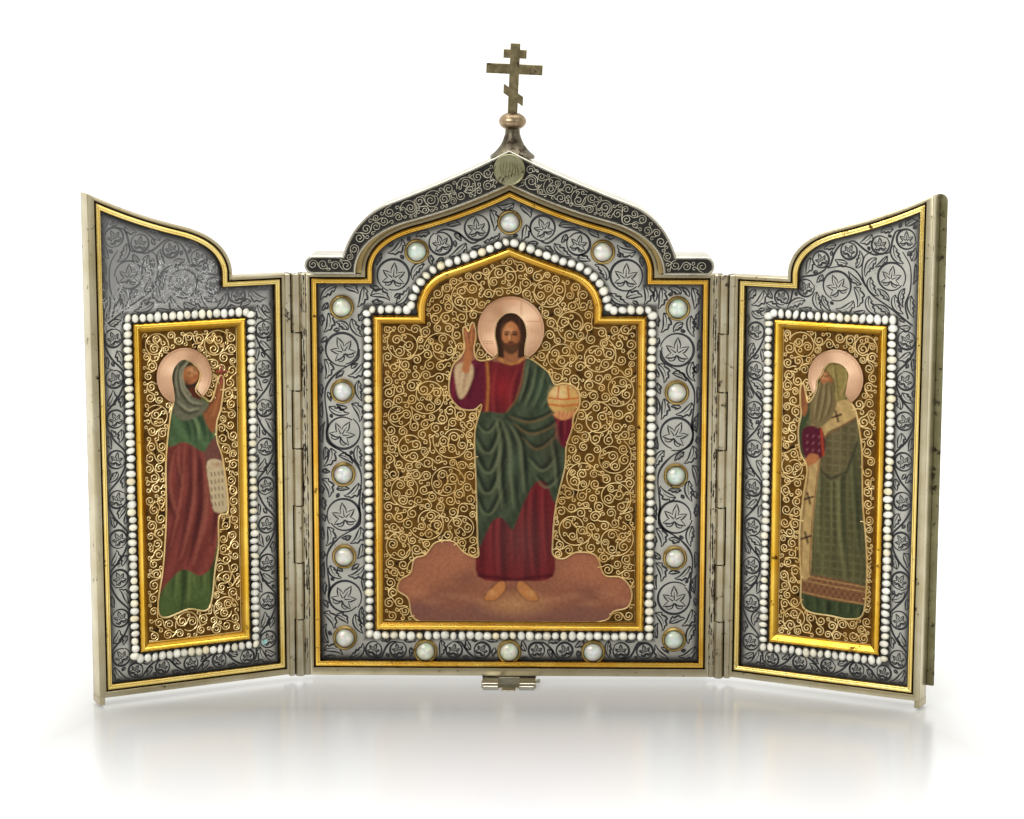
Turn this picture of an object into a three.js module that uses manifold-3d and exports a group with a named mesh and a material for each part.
// A travelling icon triptych in silver: an arched centre case with a projecting crest, two wings on
// seven-knuckle hinges, niello plates, filigree plaques, seed pearls and half pearls in collets.
// Millimetres, +Z up, +X to the viewer's right, the viewer in front at -Y.
// The origin is on the underside of the foot, in the plane of the two hinge axes.
import * as THREE from "three";
import { mergeVertices } from "three/addons/utils/BufferGeometryUtils.js";
import Module from "manifold-3d";

const wasm = await Module();
wasm.setup();

const GAP = 0.3; // between pieces that touch
const DEG = Math.PI / 180;

// The line that the outside of the gilt outer moulding follows on the centre.
const FIELD = { side: 59.4, bottom: 4.75, shoulder: 124.15, flank: 42.7, apex: 150.2, knee: 0.603 };
const HINGE_X = 64;
const WING_FIELD = { hingeSide: 4.7, freeSide: 61.2 };
const WING_ANGLE = { left: 28.2, right: 26.0 }; // swung forward from flat open
const RIM_FACE = 0.2; // every rim lies this far behind the hinge axes, so that the closed faces clear

// The outside of the gilt inner frames.
const CENTER_FRAME = { side: 41.1, bottom: 15.95, shoulder: 113.05, flank: 27.9, apex: 133.65, knee: 0.675 };
const WING_FRAME = { hingeSide: 15.6, freeSide: 50.6, bottom: 14.7, top: 113.2 };

// Depths behind the hinge axes: the niello plate's face, the filigree's face and the case's back.
const CENTER_DEPTH = { plate: 2.7, filigree: 2.2, back: 10.2 };
const WING_DEPTH = { plate: 2.0, filigree: 1.9, back: 6.5 };
const PLATE_THICK = 0.8;
const FILIGREE_THICK = 0.4;
const PANEL_THICK = 0.6;
const HALO_THICK = 0.6;

// How far each rim reaches beyond the field's line, by the way its edge faces.
const CENTER_RIM = { top: 1.5, bottom: 2.75, left: 1.6, right: 1.6 };
const WING_RIM = { top: 1.5, bottom: 2.2, left: 1.4, right: 2.6 };
const CREST_INSIDE = { top: 2.0, bottom: 2.0, left: 2.8, right: 2.8 };
const RIM_INSIDE = 0.6;
const LEDGE = 1.0;
const WALL = 1.0;
const MOULDING_WIDTH = 1.7;

const CREST = {
  front: -6.4, lobeEnd: 60.7, lobeTop: 131.55, foot: 49.4, kneeX: 35, kneeZ: 147.45, apex: 162.75,
};
const CREST_RIM = { width: 0.6, recess: 1.2 };
const CARTOUCHE = { z: 157.15, radius: 4.65, thick: 0.7, rim: 0.5 };

const FINIAL = { x: 0.8, y: 1.9, neck: 1.95, foot: 6.6, base: 160.0, top: 168.0 };
const BALL = { bottom: 168.3, radius: 4.05, height: 5.3 };
const CROSS = { bottom: 173.9, height: 19.9, width: 2.85, thick: 0.9, lean: 2.5 };

const PEARL = { radius: 3.05, columnX: 50.4, bottomZ: 13.3, pitch: 25.5, rowX: 25.7, rowZ: 9.25 };
const PEARL_TOP = 0.05;
const COLLET = { outer: 3.7, inner: 3.37, height: 1.5 };
const SEED = { pitch: 2.6, wingPitch: 2.3, halfWidth: 1.15, offset: 1.6 };

const KNUCKLES = 7;
const HINGE = { radius: 1.4, pin: 0.4, bottom: 1.95, top: 125.6, leaf: 1.0, leafDepth: 5.6 };
const BRACKET = { half: 8.3, front: -9.0, back: 10.0, thick: 1.7, slot: 3.1, tongue: 2.1, floor: 0.25 };
const WING_FOOT = { width: 1.7, bottom: 0.45 };
const ASTRAGAL = { width: 4.2, beyond: 2.1, thick: 1.6, bottom: 6.0, top: 151.6 };

const silver = new THREE.MeshStandardMaterial({ color: 0xb8ad92, roughness: 0.4, metalness: 1 });
const niello = new THREE.MeshStandardMaterial({ color: 0x96968f, roughness: 0.45, metalness: 0.9 });
const gilt = new THREE.MeshStandardMaterial({ color: 0xe0a94a, roughness: 0.3, metalness: 1 });
const roseGilt = new THREE.MeshStandardMaterial({ color: 0xe6b191, roughness: 0.3, metalness: 1 });
const bronze = new THREE.MeshStandardMaterial({ color: 0x8a805f, roughness: 0.5, metalness: 1 });
const blackened = new THREE.MeshStandardMaterial({ color: 0x3a3835, roughness: 0.5, metalness: 0.8 });
const nacre = new THREE.MeshStandardMaterial({ color: 0xe6e2d6, roughness: 0.25, metalness: 0 });
const paint = new THREE.MeshStandardMaterial({ color: 0x6f4a3c, roughness: 0.45, metalness: 0 });

const point = (x, z) => new THREE.Vector2(x, z);

// ---------------------------------------------------------------- outlines, anticlockwise in X and Z

// The ogee from the shoulder's corner up to x = cut: a swelling curve, then a hollow sweep to the apex.
function ogee({ flank, shoulder, apex, knee }, cut = 0) {
  const rise = apex - shoulder;
  const at = (x, z) => point(x * flank, shoulder + z * rise);
  const kneeX = 0.656;
  const sweepX = 0.304;
  const swell = new THREE.CubicBezierCurve(
    at(1, 0.12), at(0.99, 0.31), at(0.9, knee - 0.105), at(kneeX, knee));
  const sweep = new THREE.QuadraticBezierCurve(at(kneeX, knee), at(sweepX, knee + 0.155), at(0, 1));
  const a = kneeX - 2 * sweepX;
  const b = 2 * (sweepX - kneeX);
  const end = (-b - Math.sqrt(b * b - 4 * a * (kneeX - cut / flank))) / (2 * a);
  const steps = 4;
  const swept = Array.from({ length: steps }, (_, i) => sweep.getPoint(((i + 1) / steps) * end));
  return [at(1, 0), ...swell.getPoints(5), ...swept];
}

// Closes a half outline, given from the foot of its side up to the apex, with its mirror image.
function mirrored(half) {
  const other = half.filter((p) => p.x > 1e-3).map((p) => point(-p.x, p.y));
  return [...half, ...other.reverse()];
}

function archOutline(field) {
  return mirrored([point(field.side, field.bottom), point(field.side, field.shoulder), ...ogee(field)]);
}

// Half of the centre's outline turned over the hinge: u runs from the hinge to the free edge.
function wingOutline() {
  const { hingeSide, freeSide } = WING_FIELD;
  const arch = ogee(FIELD, HINGE_X - freeSide).map((p) => point(HINGE_X - p.x, p.y));
  return [
    point(hingeSide, FIELD.bottom),
    point(freeSide, FIELD.bottom),
    ...arch.reverse(),
    point(hingeSide, FIELD.shoulder),
  ];
}

function rectangle(x0, x1, z0, z1) {
  return [point(x0, z0), point(x1, z0), point(x1, z1), point(x0, z1)];
}

function circle(x, z, radius, sides) {
  return Array.from({ length: sides }, (_, i) => {
    const turn = (i / sides) * 2 * Math.PI;
    return point(x + radius * Math.cos(turn), z + radius * Math.sin(turn));
  });
}

// A robed figure's outline from stations: height, left edge and right edge, from the hem to the crown.
function robeOutline(stations) {
  const side = (edge) => {
    const points = stations.map(([z, left, right]) => point(edge === "left" ? left : right, z));
    return new THREE.SplineCurve(points).getPoints(stations.length + 4);
  };
  return [...side("right"), ...side("left").reverse()];
}

// Moves each edge out by a distance, or by a reach for each way it faces, and mitres the corners.
function offset(outline, reach) {
  const distance = (n) => {
    if (typeof reach === "number") return reach;
    const across = n.x > 0 ? reach.right : reach.left;
    const along = n.y > 0 ? reach.top : reach.bottom;
    return across * n.x ** 2 + along * n.y ** 2;
  };
  const edges = outline.map((p, i) => {
    const next = outline[(i + 1) % outline.length];
    const normal = point(next.y - p.y, p.x - next.x).normalize();
    return { normal, distance: distance(normal) };
  });
  return outline.map((p, i) => {
    const a = edges[(i + outline.length - 1) % outline.length];
    const b = edges[i];
    const cross = a.normal.cross(b.normal);
    if (Math.abs(cross) < 1e-4) return p.clone().addScaledVector(b.normal, b.distance);
    const x = (a.distance * b.normal.y - b.distance * a.normal.y) / cross;
    const z = (b.distance * a.normal.x - a.distance * b.normal.x) / cross;
    return point(p.x + x, p.y + z);
  });
}

// ---------------------------------------------------------------- solids

function solid(geometry) {
  geometry.deleteAttribute("normal");
  geometry.deleteAttribute("uv");
  const merged = mergeVertices(geometry, 1e-4);
  return new wasm.Manifold(
    new wasm.Mesh({
      numProp: 3,
      vertProperties: merged.attributes.position.array,
      triVerts: new Uint32Array(merged.index.array),
    }),
  );
}

function geometryOf(body) {
  const made = body.getMesh();
  const geometry = new THREE.BufferGeometry();
  geometry.setAttribute("position", new THREE.BufferAttribute(made.vertProperties, made.numProp));
  geometry.setIndex(new THREE.BufferAttribute(made.triVerts, 1));
  geometry.computeVertexNormals();
  return geometry;
}

// An outline in X and Z, extruded from the depth y0 back to y1.
function prism(outline, y0, y1) {
  const extruded = new THREE.ExtrudeGeometry(new THREE.Shape(outline), {
    depth: y1 - y0,
    bevelEnabled: false,
  });
  return solid(extruded.rotateX(Math.PI / 2).translate(0, y1, 0));
}

function box(x0, x1, y0, y1, z0, z1) {
  const size = new THREE.BoxGeometry(x1 - x0, y1 - y0, z1 - z0);
  return solid(size.translate((x0 + x1) / 2, (y0 + y1) / 2, (z0 + z1) / 2));
}

// A turned piece on a vertical axis, from a profile of radius and height.
function turned(profile, segments, x, y) {
  const lathe = new THREE.LatheGeometry(profile.map(([r, z]) => point(r, z)), segments);
  return solid(lathe.rotateX(Math.PI / 2).translate(x, y, 0));
}

function upright(radius, z0, z1, segments, x, y) {
  return turned([[0, z0], [radius, z0], [radius, z1], [0, z1]], segments, x, y);
}

// Closed loops of equal length, each joined to the next and the last to the first.
function tubeOfLoops(loops) {
  const count = loops[0].length;
  const position = loops.flat().flatMap((v) => v.toArray());
  const index = [];
  loops.forEach((_, k) => {
    const next = (k + 1) % loops.length;
    for (let i = 0; i < count; i += 1) {
      const j = (i + 1) % count;
      const [a, b, c, d] = [k * count + i, k * count + j, next * count + j, next * count + i];
      index.push(a, b, c, a, c, d);
    }
  });
  const geometry = new THREE.BufferGeometry();
  geometry.setAttribute("position", new THREE.Float32BufferAttribute(position, 3));
  geometry.setIndex(index);
  return solid(geometry);
}

// A mitred moulding round an outline: the profile lists [reach beyond the outline, depth].
function moulding(outline, profile) {
  return tubeOfLoops(profile.map(([reach, depth]) =>
    offset(outline, reach).map((p) => new THREE.Vector3(p.x, depth, p.y))));
}

// Seed pearls strung round an outline: a waist and a belly for each, three-sided, flat at the back.
function seedPearls(outline, pitch, back, front) {
  const corners = offset(outline, SEED.offset);
  const path = new THREE.CurvePath();
  corners.forEach((p, i) => path.add(new THREE.LineCurve(p, corners[(i + 1) % corners.length])));
  const count = Math.round(path.getLength() / pitch);
  const loops = [];
  for (let i = 0; i < 2 * count; i += 1) {
    const belly = i % 2 === 1;
    const along = i / (2 * count);
    const here = path.getPointAt(along);
    const ahead = path.getPointAt((along + 0.25 / count) % 1);
    const behind = path.getPointAt((along + 1 - 0.25 / count) % 1);
    const side = point(ahead.y - behind.y, behind.x - ahead.x).normalize();
    const size = belly ? 1 - 0.06 * (1 + Math.sin(i * 2.4)) : 0.42;
    const half = SEED.halfWidth * size;
    const tall = (back - front) * size;
    const ring = [[-half, back], [0, back - tall], [half, back]];
    loops.push(ring.map(([s, y]) => new THREE.Vector3(here.x + s * side.x, y, here.y + s * side.y)));
  }
  return tubeOfLoops(loops);
}

// ---------------------------------------------------------------- the scene graph

const root = new THREE.Group();
const center = new THREE.Group();
const wings = { left: new THREE.Group(), right: new THREE.Group() };
wings.left.position.x = -HINGE_X;
wings.left.rotation.z = WING_ANGLE.left * DEG;
wings.left.scale.x = -1;
wings.right.position.x = HINGE_X;
wings.right.rotation.z = -WING_ANGLE.right * DEG;
root.add(center, wings.left, wings.right);

function place(group, name, body, material) {
  const mesh = new THREE.Mesh(geometryOf(body), material);
  mesh.name = name;
  group.add(mesh);
}

// A shallow case: a rim round the front, a ledge for the plate and a closed back.
function tray(outline, rim, depth) {
  const ledge = depth.plate + PLATE_THICK + GAP;
  return prism(offset(outline, rim), RIM_FACE, depth.back)
    .subtract(prism(offset(outline, RIM_INSIDE), RIM_FACE - 1, ledge))
    .subtract(prism(offset(outline, -LEDGE), ledge - 1, depth.back - WALL));
}

// The gilt moulding that edges the niello plate: a fillet, a ridge and a step down to the plate.
function outerMoulding(outline, depth) {
  const base = depth.plate - GAP;
  const inner = -MOULDING_WIDTH;
  return moulding(outline, [
    [0, base], [0, RIM_FACE + 0.25], [-0.75, RIM_FACE + 0.05],
    [-1.2, RIM_FACE + 0.4], [inner, RIM_FACE + 1.1], [inner, base],
  ]);
}

// The frame round the picture: a bevel, a rounded ridge and a long slope down to the filigree.
function innerFrame(outline, depth) {
  const plateSide = depth.plate - GAP;
  const pictureSide = depth.filigree - GAP;
  return moulding(outline, [
    [0, plateSide], [0, 1.1], [-0.55, 0.5], [-0.95, 0.3], [-1.35, 0.5],
    [-2.85, pictureSide], [-1.3, pictureSide], [-1.3, plateSide],
  ]);
}

function haloRing(cut, y) {
  const disc = prism(circle(cut.halo.x, cut.halo.z, cut.halo.radius, 20), y - HALO_THICK, y);
  return disc.subtract(prism(offset(cut.robe, 0.1), y - HALO_THICK - 1, y + 1));
}

// Everything that lies in one case: plate, mouldings, picture, filigree, halo and seed pearls.
function fitOut(group, prefix, parts) {
  const { outline, frame, depth, rim, cut, pitch } = parts;
  const add = (name, body, material) => place(group, `${prefix}_${name}`, body, material);
  const plateBack = depth.plate + PLATE_THICK;
  const filigreeBack = depth.filigree + FILIGREE_THICK;
  const panelFront = Math.max(filigreeBack, depth.plate) + GAP;
  const window = prism(offset(frame, -1.2), depth.plate - 1, plateBack + 1);
  const notches = parts.notches ?? [];

  add("case", parts.feet ? tray(outline, rim, depth).add(parts.feet) : tray(outline, rim, depth), silver);
  let plate = prism(offset(outline, RIM_INSIDE - GAP), depth.plate, plateBack).subtract(window);
  let edging = outerMoulding(outline, depth);
  notches.forEach(([x, z]) => {
    const collar = prism(circle(x, z, COLLET.outer, 8), depth.plate - COLLET.height, depth.plate + 0.1);
    const hole = prism(circle(x, z, COLLET.inner, 8), depth.plate - COLLET.height - 1, depth.plate);
    plate = plate.add(collar.subtract(hole));
    edging = edging.subtract(prism(circle(x, z, COLLET.outer + GAP, 8), RIM_FACE - 1, depth.plate));
  });
  add("niello_plate", plate, niello);
  add("outer_moulding", edging, gilt);
  add("inner_frame", innerFrame(frame, depth), gilt);
  add("seed_pearls", seedPearls(frame, pitch, depth.plate - GAP, 0.45), nacre);
  add("painted_panel", prism(offset(frame, -1.2 - GAP), panelFront, panelFront + PANEL_THICK), paint);
  const sheet = prism(offset(frame, -1.3 - GAP), depth.filigree, filigreeBack);
  const opening = cut.openings.reduce(
    (whole, shape) => whole.add(prism(shape, depth.filigree - 1, filigreeBack + 1)),
    prism(cut.robe, depth.filigree - 1, filigreeBack + 1));
  add("filigree_plaque", sheet.subtract(opening), gilt);
  add("halo", haloRing(cut, depth.filigree - GAP), roseGilt);
}

// The standing figure on clouds, with a raised arm on one side and an orb on the other.
const centerCut = {
  robe: robeOutline([
    [36, -9.6, 13.1], [55, -9.9, 13.4], [72, -10.4, 16.6], [84, -8.6, 16.5],
    [95, -9.5, 12.6], [101, -4.6, 5.4], [106, -3.9, 4.5], [112, -2.6, 3.2],
  ]),
  openings: [
    circle(16.2, 87.5, 4.8, 10),
    [point(-9, 86), point(-16.5, 84), point(-18.2, 90), point(-13.9, 104), point(-11.4, 111),
      point(-10.2, 104), point(-6, 97)],
    rectangle(-29, 29, 19, 34),
    circle(-30, 27.5, 4.8, 10), circle(-23.5, 35.5, 6.2, 10), circle(-15, 37.5, 6, 10),
    circle(20, 34, 6.5, 10), circle(26.5, 33, 6.6, 10), circle(31.5, 27, 5.6, 10),
  ],
  halo: { x: 0.4, z: 108.85, radius: 10 },
};

// The two saints in the wings, given from the hinge outwards.
const wingCut = {
  left: {
    robe: robeOutline([
      [24, 27, 44], [40, 25.5, 42.6], [52, 22.8, 41.6], [66, 23.4, 41.2], [78, 26, 41],
      [86, 28.5, 40.2], [92, 30.6, 39.6], [97, 31.2, 39.4], [102, 34, 38],
    ]),
    openings: [
      [point(30, 82), point(24.6, 78), point(22.6, 96), point(24, 97), point(26.5, 93)],
    ],
    halo: { x: 35.2, z: 96.75, radius: 8.5 },
  },
  right: {
    robe: robeOutline([
      [24.5, 26, 45], [36, 25.4, 46], [52, 25.5, 44.6], [68, 26.6, 43.6], [80, 26.4, 43],
      [88, 29, 42.2], [94, 29.6, 40.4], [99, 31.4, 39.6], [102.5, 33.6, 38.6],
    ]),
    openings: [
      [point(28, 82), point(25, 84), point(24.4, 92), point(26, 93.5), point(28.5, 90)],
    ],
    halo: { x: 35.2, z: 96.75, radius: 8.5 },
  },
};

const centerOutline = archOutline(FIELD);
const mountedPearls = [];
for (let row = 0; row < 5; row += 1) {
  const z = PEARL.bottomZ + row * PEARL.pitch;
  mountedPearls.push([-PEARL.columnX, z], [PEARL.columnX, z]);
}
mountedPearls.push([-PEARL.rowX, PEARL.rowZ], [0, PEARL.rowZ], [PEARL.rowX, PEARL.rowZ]);
mountedPearls.push([-27.8, 132.2], [27.8, 132.2], [0, 140.95]);

fitOut(center, "center", {
  outline: centerOutline,
  frame: archOutline(CENTER_FRAME),
  depth: CENTER_DEPTH,
  rim: CENTER_RIM,
  cut: centerCut,
  pitch: SEED.pitch,
  notches: mountedPearls,
});

// A half pearl with a flat back, facing the viewer.
function halfPearl([x, z]) {
  const tall = CENTER_DEPTH.plate - GAP - PEARL_TOP;
  const r = PEARL.radius;
  const profile = [[0, 0], [0.86 * r, 0], [r, 0.4 * tall], [0.68 * r, 0.84 * tall], [0, tall]];
  const lathe = new THREE.LatheGeometry(profile.map(([a, b]) => point(a, b)), 8);
  return solid(lathe.rotateX(Math.PI).translate(0, CENTER_DEPTH.plate - GAP, 0).translate(x, 0, z));
}
mountedPearls.forEach((spot, i) => {
  place(center, `mounted_pearl_${String(i + 1).padStart(2, "0")}`, halfPearl(spot), nacre);
});

for (const side of ["left", "right"]) {
  const { freeSide } = WING_FIELD;
  const free = freeSide + WING_RIM.right;
  fitOut(wings[side], side, {
    outline: wingOutline(),
    frame: rectangle(WING_FRAME.hingeSide, WING_FRAME.freeSide, WING_FRAME.bottom, WING_FRAME.top),
    depth: WING_DEPTH,
    rim: WING_RIM,
    cut: wingCut[side],
    pitch: SEED.wingPitch,
    feet: box(free - WING_FOOT.width, free, RIM_FACE, WING_DEPTH.back,
      WING_FOOT.bottom, FIELD.bottom - WING_RIM.bottom + 0.5),
  });
}

// ---------------------------------------------------------------- crest, finial and cross

const caseOutline = offset(centerOutline, CENTER_RIM);

// Lobes on the shoulders, an ogee up to the apex, and an inner edge that clears the closed wings.
function crestOutline() {
  const { lobeEnd, lobeTop, foot, kneeX, kneeZ, apex } = CREST;
  const first = 2; // the ogee follows the two points of the straight side
  const inner = offset(centerOutline, CREST_INSIDE).slice(first, first + ogee(FIELD).length);
  const underside = inner[0].y;
  const lobe = (lobeTop - underside) / 2;
  const top = new THREE.Path();
  top.absarc(lobeEnd - lobe, underside + lobe, lobe, -Math.PI / 2, Math.PI / 2);
  top.lineTo(foot, lobeTop);
  top.bezierCurveTo(foot - 1.8, lobeTop + 6.4, kneeX + 8.2, kneeZ - 3.1, kneeX, kneeZ);
  top.quadraticCurveTo(0.4 * kneeX, apex - 7.4, 0, apex);
  return mirrored([...inner.reverse(), ...top.getPoints(5)]);
}

const crest = crestOutline();
const caseSpace = prism(offset(caseOutline, GAP), RIM_FACE - GAP, CENTER_DEPTH.back + 1);
const recessBack = CREST.front + CREST_RIM.recess;
place(center, "crest_hood",
  prism(crest, CREST.front, CENTER_DEPTH.back)
    .subtract(caseSpace)
    .subtract(prism(offset(crest, -CREST_RIM.width), CREST.front - 1, recessBack)),
  silver);
place(center, "crest_filigree_plaque",
  prism(offset(crest, -CREST_RIM.width - GAP), CREST.front + 0.4, recessBack - GAP), blackened);

const badge = CREST.front - GAP;
place(center, "crest_cartouche",
  prism(circle(0, CARTOUCHE.z, CARTOUCHE.radius, 18), badge - CARTOUCHE.thick, badge)
    .subtract(prism(circle(0, CARTOUCHE.z, CARTOUCHE.radius - CARTOUCHE.rim, 18),
      badge - 1, badge - CARTOUCHE.thick + 0.15)),
  silver);

const roof = prism(offset(crest, GAP), CREST.front - 1, CENTER_DEPTH.back + 1);
place(center, "finial_base",
  turned([
    [0, FINIAL.base], [FINIAL.foot, FINIAL.base], [FINIAL.foot, FINIAL.base + 1.1], [5.2, 162.9],
    [3.9, 164.2], [2.8, 165.4], [2.1, 166.7], [FINIAL.neck, FINIAL.top], [0, FINIAL.top],
  ], 16, FINIAL.x, FINIAL.y).subtract(roof),
  silver);

const ballProfile = Array.from({ length: 8 }, (_, i) => {
  const turn = (i / 7) * Math.PI;
  const z = BALL.bottom + (BALL.height / 2) * (1 - Math.cos(turn));
  return [i % 7 === 0 ? 0 : BALL.radius * Math.sin(turn), z];
});
place(center, "finial_ball", turned(ballProfile, 14, FINIAL.x, FINIAL.y), roseGilt);

// An upright, a short top bar, a long bar and a slanting lower bar, cut from one plate.
function crossPlate() {
  const { height, width, thick } = CROSS;
  const bar = (half, z0, z1) => prism(rectangle(-half, half, z0, z1), -thick / 2, thick / 2);
  const slant = (half, z, tall, slope) => prism([
    point(-half, z - tall / 2 + half * slope), point(half, z - tall / 2 - half * slope),
    point(half, z + tall / 2 - half * slope), point(-half, z + tall / 2 + half * slope),
  ], -thick / 2, thick / 2);
  return bar(width / 2, 0, height)
    .add(bar(3.4, height - 4.35, height - 1.8))
    .add(bar(8.3, height - 9.0, height - 6.05))
    .add(slant(2.95, height - 15.1, 2.75, 0.62));
}
const leaning = new THREE.Group();
leaning.position.set(FINIAL.x, FINIAL.y, CROSS.bottom);
leaning.rotation.y = CROSS.lean * DEG;
center.add(leaning);
place(leaning, "finial_cross", crossPlate(), bronze);

// ---------------------------------------------------------------- hinges, foot and closing strip

// A leaf along a case's side with every other knuckle; toward is +1 where the case is at higher x.
function hingeLeaf(axisX, toward, caseX, parity) {
  const near = caseX - toward * GAP;
  const far = near - toward * HINGE.leaf;
  const pitch = (HINGE.top - HINGE.bottom) / KNUCKLES;
  const spanX = (a, b) => [Math.min(a, b), Math.max(a, b)];
  const deep = RIM_FACE + HINGE.leafDepth;
  let leaf = box(...spanX(near, far), RIM_FACE, deep, HINGE.bottom, HINGE.top);
  for (let k = parity; k < KNUCKLES; k += 2) {
    const z0 = HINGE.bottom + k * pitch + (k > 0 ? GAP / 2 : 0);
    const z1 = HINGE.bottom + (k + 1) * pitch - (k < KNUCKLES - 1 ? GAP / 2 : 0);
    const web = box(...spanX(far + toward * 0.1, axisX), RIM_FACE, RIM_FACE + 0.9, z0, z1);
    leaf = leaf.add(upright(HINGE.radius, z0, z1, 8, axisX, 0)).add(web);
  }
  return leaf.subtract(upright(HINGE.pin + GAP, HINGE.bottom - 1, HINGE.top + 1, 6, axisX, 0));
}

const centerSide = FIELD.side + CENTER_RIM.right;
const wingSide = WING_FIELD.hingeSide - WING_RIM.left;
for (const [side, sign] of [["left", -1], ["right", 1]]) {
  place(center, `${side}_hinge_center_leaf`, hingeLeaf(sign * HINGE_X, -sign, sign * centerSide, 0), silver);
  place(center, `${side}_hinge_pin`,
    upright(HINGE.pin, HINGE.bottom, HINGE.top, 6, sign * HINGE_X, 0), silver);
  place(wings[side], `${side}_hinge_wing_leaf`, hingeLeaf(0, 1, wingSide, 1), silver);
}

// The foot: a plate under the case that reaches out in front, slotted for the wings' own feet.
function footBracket() {
  const { half, front, back, thick, slot, tongue, floor } = BRACKET;
  const tier = { depth: 2.0, side: 0.5, drop: 0.35 };
  const reach = front - 1.2;
  const knob = new THREE.CylinderGeometry(0.6, 0.6, 1.6, 8).rotateZ(Math.PI / 2);
  return box(-half, half, front, back, 0, thick)
    .subtract(box(-half - 1, half + 1, front - 1, front + tier.depth, thick - tier.drop, thick + 1))
    .subtract(box(-half - 1, -half + tier.side, front - 1, front + tier.depth, -1, thick + 1))
    .subtract(box(half - tier.side, half + 1, front - 1, front + tier.depth, -1, thick + 1))
    .subtract(box(-slot, slot, front - 1, RIM_FACE, floor, thick + 1))
    .subtract(box(-slot, -tongue, front - 1, front + tier.depth, -1, thick + 1))
    .subtract(box(tongue, slot, front - 1, front + tier.depth, -1, thick + 1))
    .add(box(-tongue, tongue, reach, front + 0.1, 0, floor))
    .add(solid(knob.translate(half + 0.4, -1, thick / 2)));
}
place(center, "foot_bracket", footBracket(), silver);

// A half-round strip along the free edge of the right wing that covers the joint when it is closed.
function closingStrip() {
  const { width, beyond, thick, bottom, top } = ASTRAGAL;
  const edge = WING_FIELD.freeSide + WING_RIM.right + beyond;
  const middle = edge - width / 2;
  const face = WING_DEPTH.back + GAP;
  const section = new THREE.Shape();
  section.absellipse(middle, face, width / 2, thick, 0, Math.PI, false, 0);
  const run = { depth: top - bottom, bevelEnabled: false, curveSegments: 8 };
  const bar = new THREE.ExtrudeGeometry(section, run);
  const outline = [point(edge, bottom - 1), ...circle(middle, top - width / 2, width / 2, 12).slice(0, 7),
    point(middle - width / 2, bottom - 1)];
  return solid(bar.translate(0, 0, bottom)).intersect(prism(outline, face - 1, face + thick + 1));
}
place(wings.right, "right_closing_strip", closingStrip(), silver);

export default root;
